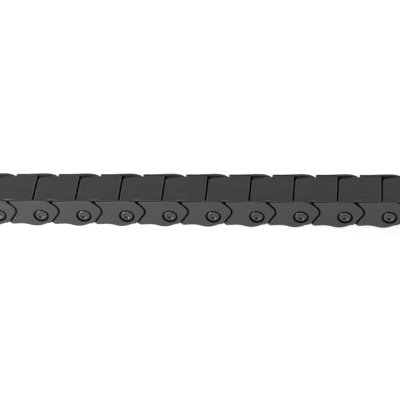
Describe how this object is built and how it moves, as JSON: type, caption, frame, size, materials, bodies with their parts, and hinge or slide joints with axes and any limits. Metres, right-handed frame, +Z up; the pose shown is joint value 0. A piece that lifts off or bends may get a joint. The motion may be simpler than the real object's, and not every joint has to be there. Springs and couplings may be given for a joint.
{
  "type": "enclosed cable track",
  "caption": "Straight length of an enclosed plastic cable track: hinged hollow links with flat top covers, pointed side ears, round pivot bosses and turn stops that let it curl one way.",
  "frame": {"origin": "under the middle of the straight track, on the surface that the side plates' lobes rest on", "axes": "+X along the track from the bosses' end to the ears' end, +Y across it along the hinge axes, +Z up to the flat top"},
  "size_m": [0.5251, 0.045, 0.0342],
  "materials": {
    "side_plate": "black glass-filled nylon, satin moulded",
    "cover": "black nylon, satin, faint lengthwise streaks"
  },
  "bodies": {
    "link_a": {"link_a_near_plate": "side_plate", "link_a_far_plate": "side_plate", "link_a_top_cover": "cover", "link_a_bottom_cover": "cover"},
    "link_b": {"link_b_near_plate": "side_plate", "link_b_far_plate": "side_plate", "link_b_top_cover": "cover", "link_b_bottom_cover": "cover"},
    "link_c": {"link_c_near_plate": "side_plate", "link_c_far_plate": "side_plate", "link_c_top_cover": "cover", "link_c_bottom_cover": "cover"},
    "link_d": {"link_d_near_plate": "side_plate", "link_d_far_plate": "side_plate", "link_d_top_cover": "cover", "link_d_bottom_cover": "cover"},
    "link_e": {"link_e_near_plate": "side_plate", "link_e_far_plate": "side_plate", "link_e_top_cover": "cover", "link_e_bottom_cover": "cover"},
    "link_f": {"link_f_near_plate": "side_plate", "link_f_far_plate": "side_plate", "link_f_top_cover": "cover", "link_f_bottom_cover": "cover"},
    "link_g": {"link_g_near_plate": "side_plate", "link_g_far_plate": "side_plate", "link_g_top_cover": "cover", "link_g_bottom_cover": "cover"},
    "link_h": {"link_h_near_plate": "side_plate", "link_h_far_plate": "side_plate", "link_h_top_cover": "cover", "link_h_bottom_cover": "cover"},
    "link_i": {"link_i_near_plate": "side_plate", "link_i_far_plate": "side_plate", "link_i_top_cover": "cover", "link_i_bottom_cover": "cover"},
    "link_j": {"link_j_near_plate": "side_plate", "link_j_far_plate": "side_plate", "link_j_top_cover": "cover", "link_j_bottom_cover": "cover"},
    "link_k": {"link_k_near_plate": "side_plate", "link_k_far_plate": "side_plate", "link_k_top_cover": "cover", "link_k_bottom_cover": "cover"}
  },
  "joints": [
    {"name": "hinge_a_b", "type": "hinge", "parent": "link_a", "child": "link_b", "pos_m": [-0.20605, 0, 0.0143], "axis": [0, 1, 0], "range_deg": [0, 20.7]},
    {"name": "hinge_b_c", "type": "hinge", "parent": "link_b", "child": "link_c", "pos_m": [-0.16105, 0, 0.0143], "axis": [0, 1, 0], "range_deg": [0, 20.7]},
    {"name": "hinge_c_d", "type": "hinge", "parent": "link_c", "child": "link_d", "pos_m": [-0.11605, 0, 0.0143], "axis": [0, 1, 0], "range_deg": [0, 20.7]},
    {"name": "hinge_d_e", "type": "hinge", "parent": "link_d", "child": "link_e", "pos_m": [-0.07105, 0, 0.0143], "axis": [0, 1, 0], "range_deg": [0, 20.7]},
    {"name": "hinge_e_f", "type": "hinge", "parent": "link_e", "child": "link_f", "pos_m": [-0.02605, 0, 0.0143], "axis": [0, 1, 0], "range_deg": [0, 20.7]},
    {"name": "hinge_f_g", "type": "hinge", "parent": "link_f", "child": "link_g", "pos_m": [0.01895, 0, 0.0143], "axis": [0, 1, 0], "range_deg": [0, 20.7]},
    {"name": "hinge_g_h", "type": "hinge", "parent": "link_g", "child": "link_h", "pos_m": [0.06395, 0, 0.0143], "axis": [0, 1, 0], "range_deg": [0, 20.7]},
    {"name": "hinge_h_i", "type": "hinge", "parent": "link_h", "child": "link_i", "pos_m": [0.10895, 0, 0.0143], "axis": [0, 1, 0], "range_deg": [0, 20.7]},
    {"name": "hinge_i_j", "type": "hinge", "parent": "link_i", "child": "link_j", "pos_m": [0.15395, 0, 0.0143], "axis": [0, 1, 0], "range_deg": [0, 20.7]},
    {"name": "hinge_j_k", "type": "hinge", "parent": "link_j", "child": "link_k", "pos_m": [0.19895, 0, 0.0143], "axis": [0, 1, 0], "range_deg": [0, 20.7]}
  ]
}
